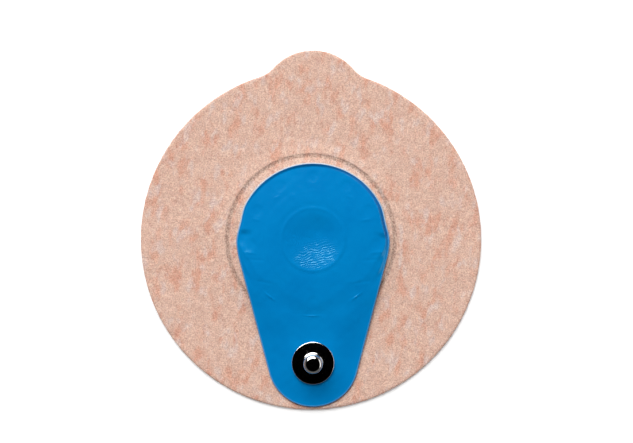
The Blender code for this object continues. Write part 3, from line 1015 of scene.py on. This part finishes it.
def pinched_share(x, y):
    """How far the film is pinched down at the two sides of its head."""
    pinched = np.zeros(len(x))
    for side in (-1, 1):
        outwards = smooth(side * x, pinch_from, pinch_from + pinch_run)
        line = pinch_y + pinch_lean * (pinch_from - side * x) * (side > 0)
        above = 1 - smooth(y - line, 0.0, pinch_above)
        below = 1 - smooth(line - y, 0.0, pinch_below)
        pinched = np.maximum(pinched, pinch_shares[side] * outwards * np.minimum(above, below))
    return pinched


def along_and_aside(x, y, middle, turn):
    """How far a point is from a middle along a direction, and how far square to it."""
    from_x = x - middle[0]
    from_y = y - middle[1]
    along = from_x * math.cos(turn) + from_y * math.sin(turn)
    aside = from_y * math.cos(turn) - from_x * math.sin(turn)
    return along, aside


def creased(height, x, y, radius, angle):
    """The height with the banks, the long crease and the short ones that the tool left near the rim."""
    for degrees in bank_angles:
        bank = ridge(radius, bank_ring, bank_width)
        height += bank_height * bank * near_angle(angle, degrees, bank_spread)
    crease = ridge(radius, crease_ring, crease_width)
    height += crease_height * crease * near_angle(angle, crease_angle, crease_spread)
    for middle_x, middle_y, half_length, rise, degrees in short_creases:
        along, aside = along_and_aside(x, y, (middle_x * mm, middle_y * mm), math.radians(degrees))
        along /= half_length * mm
        aside /= short_crease_width
        height += rise * mm * np.exp(-(along**4) - aside**2)
    return height


def wrinkled_share(x, y):
    """How finely wrinkled the film is at a place in the dimple, on its side nearer the tail."""
    along, aside = along_and_aside(x, y, wrinkled_middle, wrinkled_turn)
    away = np.hypot(along / wrinkled_size[0], aside / wrinkled_size[1])
    in_dimple = 1 - smooth(np.hypot(x, y), *wrinkled_end)
    return (1 - smooth(away, 0.45, 1.15)) * in_dimple


def rippled(height, x, y):
    """The height with two patches of ripples in the dimple, and a faint unevenness everywhere."""
    points = np.column_stack([x, y])
    wrinkled = wrinkled_share(x, y)
    across = y * math.cos(ripple_turn) - x * math.sin(ripple_turn)
    bend = 0.35 * unevenness(points, 1.5 * mm, seed=41) + 0.1 * unevenness(points, 0.5 * mm, seed=44)
    strength = 0.65 + 0.35 * unevenness(points, 0.7 * mm, seed=42)
    height += ripple_height * wrinkled * strength * np.sin(math.tau * (across / ripple_pitch + bend))
    from_left = np.hypot(x - left_wrinkled[0], y - left_wrinkled[1]) / left_wrinkled_size
    left_strength = left_ripple_height * strength * (1 - smooth(from_left, 0.3, 1.0))
    height += left_strength * np.sin(math.tau * ((x + 0.3 * y) / ripple_pitch + 1.6 * bend))
    height += film_unevenness * unevenness(points, 1.1 * mm, seed=43)
    return height


def film_top(x, y):
    radius = np.hypot(x, y)
    angle = np.arctan2(y, x)
    inside = film_margin(x, y) - edge_flash
    bead_rise = at_turn(angle, rim_turns, bead_rises)
    unraised = film_unraised(x, y, inside, bead_rise)
    rim = unraised + at_turn(angle, rim_turns, rim_rises) * smooth(inside, 0.0, bead_flank)
    height = rim + (film_plateau(x, y, radius, angle) - rim) * plateau_share(radius, angle)
    height = unraised + (height - unraised) * (1 - pinched_share(x, y))
    height += bead_rise * (1 - smooth(inside, bead_start, bead_foot)) * smooth(inside, 0.0, bead_flank)
    return rippled(creased(height, x, y, radius, angle), x, y)


def film_under(x, y):
    """The underside keeps the film's thickness, and comes down to the cloth along the edge."""
    at_edge = 1 - smooth(film_margin(x, y), *edge_thinned)
    kept = film_top(x, y) - film_thickness
    return kept + (film_edge_under(x, y) - kept) * at_edge


def film_pale_edge_and_highlight(x, y):
    """How pale the cut edge is: a faint pale core all round, and a painted highlight round the head."""
    cut = 1 - smooth(film_margin(x, y), *pale_highlit_band)
    return cut * (0.15 + 0.85 * smooth(y, *highlight_rise))


def film_painted_shade(x, y):
    """How much a band just inside the edge is darkened with painted shade and dulled, most on the right.
    """
    inside = film_margin(x, y) - edge_flash
    share = at_turn(np.arctan2(y, x), shade_band_turns, shade_band_shares)
    return share * smooth(inside, *shade_band_start) * (1 - smooth(inside / (0.6 + 0.4 * share), *shade_band_width))


def make_pressed_film():
    rounded = ((0.2 * mm, 1.0), (0.1 * mm, 0.94), (0.03 * mm, 0.80))
    edge_rows = (*rounded, (0.0, 0.6), (0.0, 0.25), (0.04 * mm, 0.0))
    edge = film_outline()
    rim = [(inset_loop(edge, inset), share) for inset, share in edge_rows]
    stud_hole = ((0.0, stud_y), stud_hole_radius)
    hole_rim = [(ring_loop(stud_hole_radius, 60, stud_hole[0]), share) for share in (1.0, 0.5, 0.0)]
    wall_loops = [inset_loop(edge, inset) for inset in wall_insets]
    low = (film_low.x - film_x, film_low.y)
    high = (film_high.x - film_x, film_high.y)

    def spots_inside(pitch, margin):
        spots = lattice(low, high, pitch)
        clear = np.hypot(spots[:, 0], spots[:, 1] - stud_y) > stud_hole_radius + pitch / 2
        return spots[(film_margin(*spots.T) > margin) & clear]

    def finely_shaped(spots):
        x, y = spots.T
        radius = np.hypot(x, y)
        on_crease = (radius > crease_zone[0]) & (radius < crease_zone[1]) & (y < crease_zone_y)
        return (radius < dimple_radius) | on_crease

    coarse = spots_inside(film_pitch, inner_margin)
    fine = spots_inside(film_fine_pitch, inner_margin)
    top_spots = [coarse[~finely_shaped(coarse)], fine[finely_shaped(fine)]]
    under_spots = [spots_inside(film_under_pitch, under_margin), *[loop[::3] for loop in wall_loops[::2]]]
    piece = layered(
        "pressed_film",
        [rim, hole_rim],
        np.vstack([*top_spots, *wall_loops]),
        np.vstack(under_spots),
        film_top,
        film_under,
        holes=[stud_hole],
        sharp_angle=50,
    )
    mark(piece, "cut edge", film_pale_edge_and_highlight)
    mark(piece, "painted_seam_shade", film_painted_shade)
    mark(piece, "wrinkles", wrinkled_share)
    piece.location.x = film_x
    return piece


def make_film_material():
    material, tree, shader, place = new_material("blue film")
    clouds = effect(tree, faint_clouds, {"Place": place, "Clouds per metre": 1 / (5 * mm)})["Value"]
    fine = noise(tree, place, 0.35 * mm, detail=2.0)
    cut = stored(tree, "cut edge")
    painted_seam_shade = stored(tree, "painted_seam_shade")
    wrinkles = stored(tree, "wrinkles")
    dulled = maths(tree, "MULTIPLY_ADD", painted_seam_shade, 0.4, maths(tree, "MULTIPLY", wrinkles, 0.1))
    blue = blended(tree, clouds, (0.0002, 0.214, 0.565), (0.0005, 0.237, 0.60))
    # Painted shade: a darker blue in the band just inside the head's edge
    blue = blended(tree, painted_seam_shade, blue, (0.0002, 0.115, 0.375))
    set_inputs(tree, shader, {
        # The cut edge: a pale core, with a painted highlight round the head
        "Base Color": blended(tree, cut, blue, (0.48, 0.60, 0.70)),
        "Roughness": maths(tree, "ADD", dulled, ramp(tree, fine, 0.3, 0.7, 0.14, 0.2)),
        "Specular IOR Level": 0.55,
        "Specular Tint": (0.42, 0.97, 1.0, 1.0),
        "Normal": bumped(tree, fine, 0.004 * mm),
    })
    return material


pressed_film = make_pressed_film()
dress(pressed_film, make_film_material())
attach(pressed_film, "root")
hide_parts("foil_flap")


# Press stud
# One sheet of brass drawn up into a flange, a neck and a ball that a lead's socket clips round, and
# plated with bright nickel. The flange's rim is rolled over, and the plate is polished like a mirror.

stud_x = (stud_low.x + stud_high.x) / 2
stud_radius = (stud_high.x - stud_low.x) / 2
stud_bottom = stud_low.z
stud_top = stud_high.z
stud_sheet = 0.3 * mm
stud_fillet = 0.8 * mm
stud_neck = 1.5 * mm
stud_ball = 1.95 * mm
ball_rounding = 0.95 * mm
stud_steps = 144


def stud_profile():
    """The stud's section, from inside the ball's top out to the flange's rim and back over the ball."""
    ball = (stud_ball - ball_rounding, stud_top - ball_rounding)
    fillet = (stud_neck + stud_fillet, stud_bottom + stud_sheet + stud_fillet)
    neck_angle = math.acos((stud_neck - ball[0]) / ball_rounding)
    inner = ball_rounding - stud_sheet
    inner_angle = math.acos((stud_neck - stud_sheet - ball[0]) / inner)
    rim = (stud_radius - stud_sheet / 2, stud_bottom + stud_sheet / 2)
    return np.vstack([
        [(0.0, stud_top - stud_sheet)],
        arc(ball, inner, math.pi / 2, -inner_angle, 8),
        arc(fillet, stud_fillet + stud_sheet, -math.pi, -math.pi / 2, 6),
        arc(rim, stud_sheet / 2, -math.pi / 2, math.pi / 2, 10),
        arc(fillet, stud_fillet, -math.pi / 2, -math.pi, 16),
        arc(ball, ball_rounding, -neck_angle, math.pi / 2, 28),
        [(ball[0] / 2, stud_top), (0.0, stud_top)],
    ])


def make_press_stud():
    corners, faces = turned(stud_profile(), stud_steps, centre=(stud_x, stud_y))
    return make_piece("press_stud", corners, faces)


press_stud = make_press_stud()
dress(press_stud, make_nickel("bright nickel", (0.80, 0.79, 0.77), 0.05, 0.16))
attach(press_stud, "root")
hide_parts("snap_stud")


# Table
# A plain white table top, which is not part of the electrode. Shiny pieces mirror it dark, as they would
# mirror the dark room around a small table.

table_radius = 3.0
table_drop = 0.03 * mm


def make_table():
    corners, faces = turned([(0.0, -table_drop), (table_radius, -table_drop)], 64)
    mesh = bpy.data.meshes.new("table")
    mesh.from_pydata(corners.tolist(), [], faces)
    table = bpy.data.objects.new("table", mesh)
    bpy.context.scene.collection.objects.link(table)
    material, tree, shader, place = new_material("white table")
    mirrored = add_node(tree, "ShaderNodeLightPath").outputs["Is Glossy Ray"]
    pale = blended(tree, noise(tree, place, 0.2), (0.88, 0.88, 0.88), (0.9, 0.9, 0.9))
    set_inputs(tree, shader, {
        "Base Color": blended(tree, mirrored, pale, (0.08, 0.08, 0.08)),
        "Roughness": 0.9,
        "Specular IOR Level": 0.1,
        "Emission Color": (1.0, 1.0, 1.0, 1.0),
        "Emission Strength": maths(tree, "MULTIPLY_ADD", mirrored, -0.25, 0.25),
    })
    dress(table, material)
    return table


make_table()


# Lights
# A large soft light from beyond the tab and a little to the left, a weaker one from the right, and a sky
# that is dark overhead and grey near the horizon. Behind the table the camera sees it white.


def add_soft_light(name, azimuth, polar, distance, size, radiance):
    """An area light that faces the electrode, at an azimuth from +X and an angle from the vertical."""
    light = bpy.data.lights.new(name, "AREA")
    light.shape = "RECTANGLE"
    light.size, light.size_y = size
    light.energy = radiance * math.pi * size[0] * size[1]
    lamp = bpy.data.objects.new(name, light)
    flat = math.sin(math.radians(polar)) * distance
    turn = math.radians(azimuth)
    height = math.cos(math.radians(polar)) * distance
    lamp.location = (flat * math.cos(turn), flat * math.sin(turn), height)
    lamp.rotation_euler = lamp.location.to_track_quat("Z", "Y").to_euler()
    bpy.context.scene.collection.objects.link(lamp)


add_soft_light("key", azimuth=108, polar=48, distance=2.4, size=(2.2, 2.2), radiance=6.15)
add_soft_light("fill", azimuth=4, polar=60, distance=2.4, size=(2.6, 0.9), radiance=1.3)


def make_sky():
    world = bpy.data.worlds.new("sky")
    bpy.context.scene.world = world
    world.use_nodes = True
    tree = world.node_tree
    direction = add_node(tree, "ShaderNodeTexCoord").outputs["Generated"]
    height = add_node(tree, "ShaderNodeSeparateXYZ", {"Vector": direction}).outputs["Z"]
    grey = ramp(tree, height, 0.3, 0.75, 0.16, 0.0)
    seen = add_node(tree, "ShaderNodeLightPath").outputs["Is Camera Ray"]
    backdrop = maths(tree, "MULTIPLY_ADD", seen, maths(tree, "SUBTRACT", 0.95, grey), grey)
    tree.links.new(backdrop, tree.nodes["Background"].inputs["Color"])


make_sky()


# Camera
# Straight above, as the photograph was taken, with a long lens so that the tail isn't drawn larger.

photo_width_px = 633
photo_height_px = 443
scale_px = 0.2 * mm
disc_middle_px = (311.0, 239.3)
camera_height = 0.3517

view_x = (photo_width_px / 2 - disc_middle_px[0]) * scale_px
view_y = (disc_middle_px[1] - photo_height_px / 2) * scale_px
lens = bpy.data.cameras.new("camera")
lens.sensor_width = 36.0
lens.lens = lens.sensor_width * camera_height / (photo_width_px * scale_px)
camera = bpy.data.objects.new("camera", lens)
camera.location = (view_x, view_y, camera_height + cloth_thickness)
bpy.context.scene.collection.objects.link(camera)
bpy.context.scene.camera = camera
bpy.context.scene.view_settings.view_transform = "Standard"
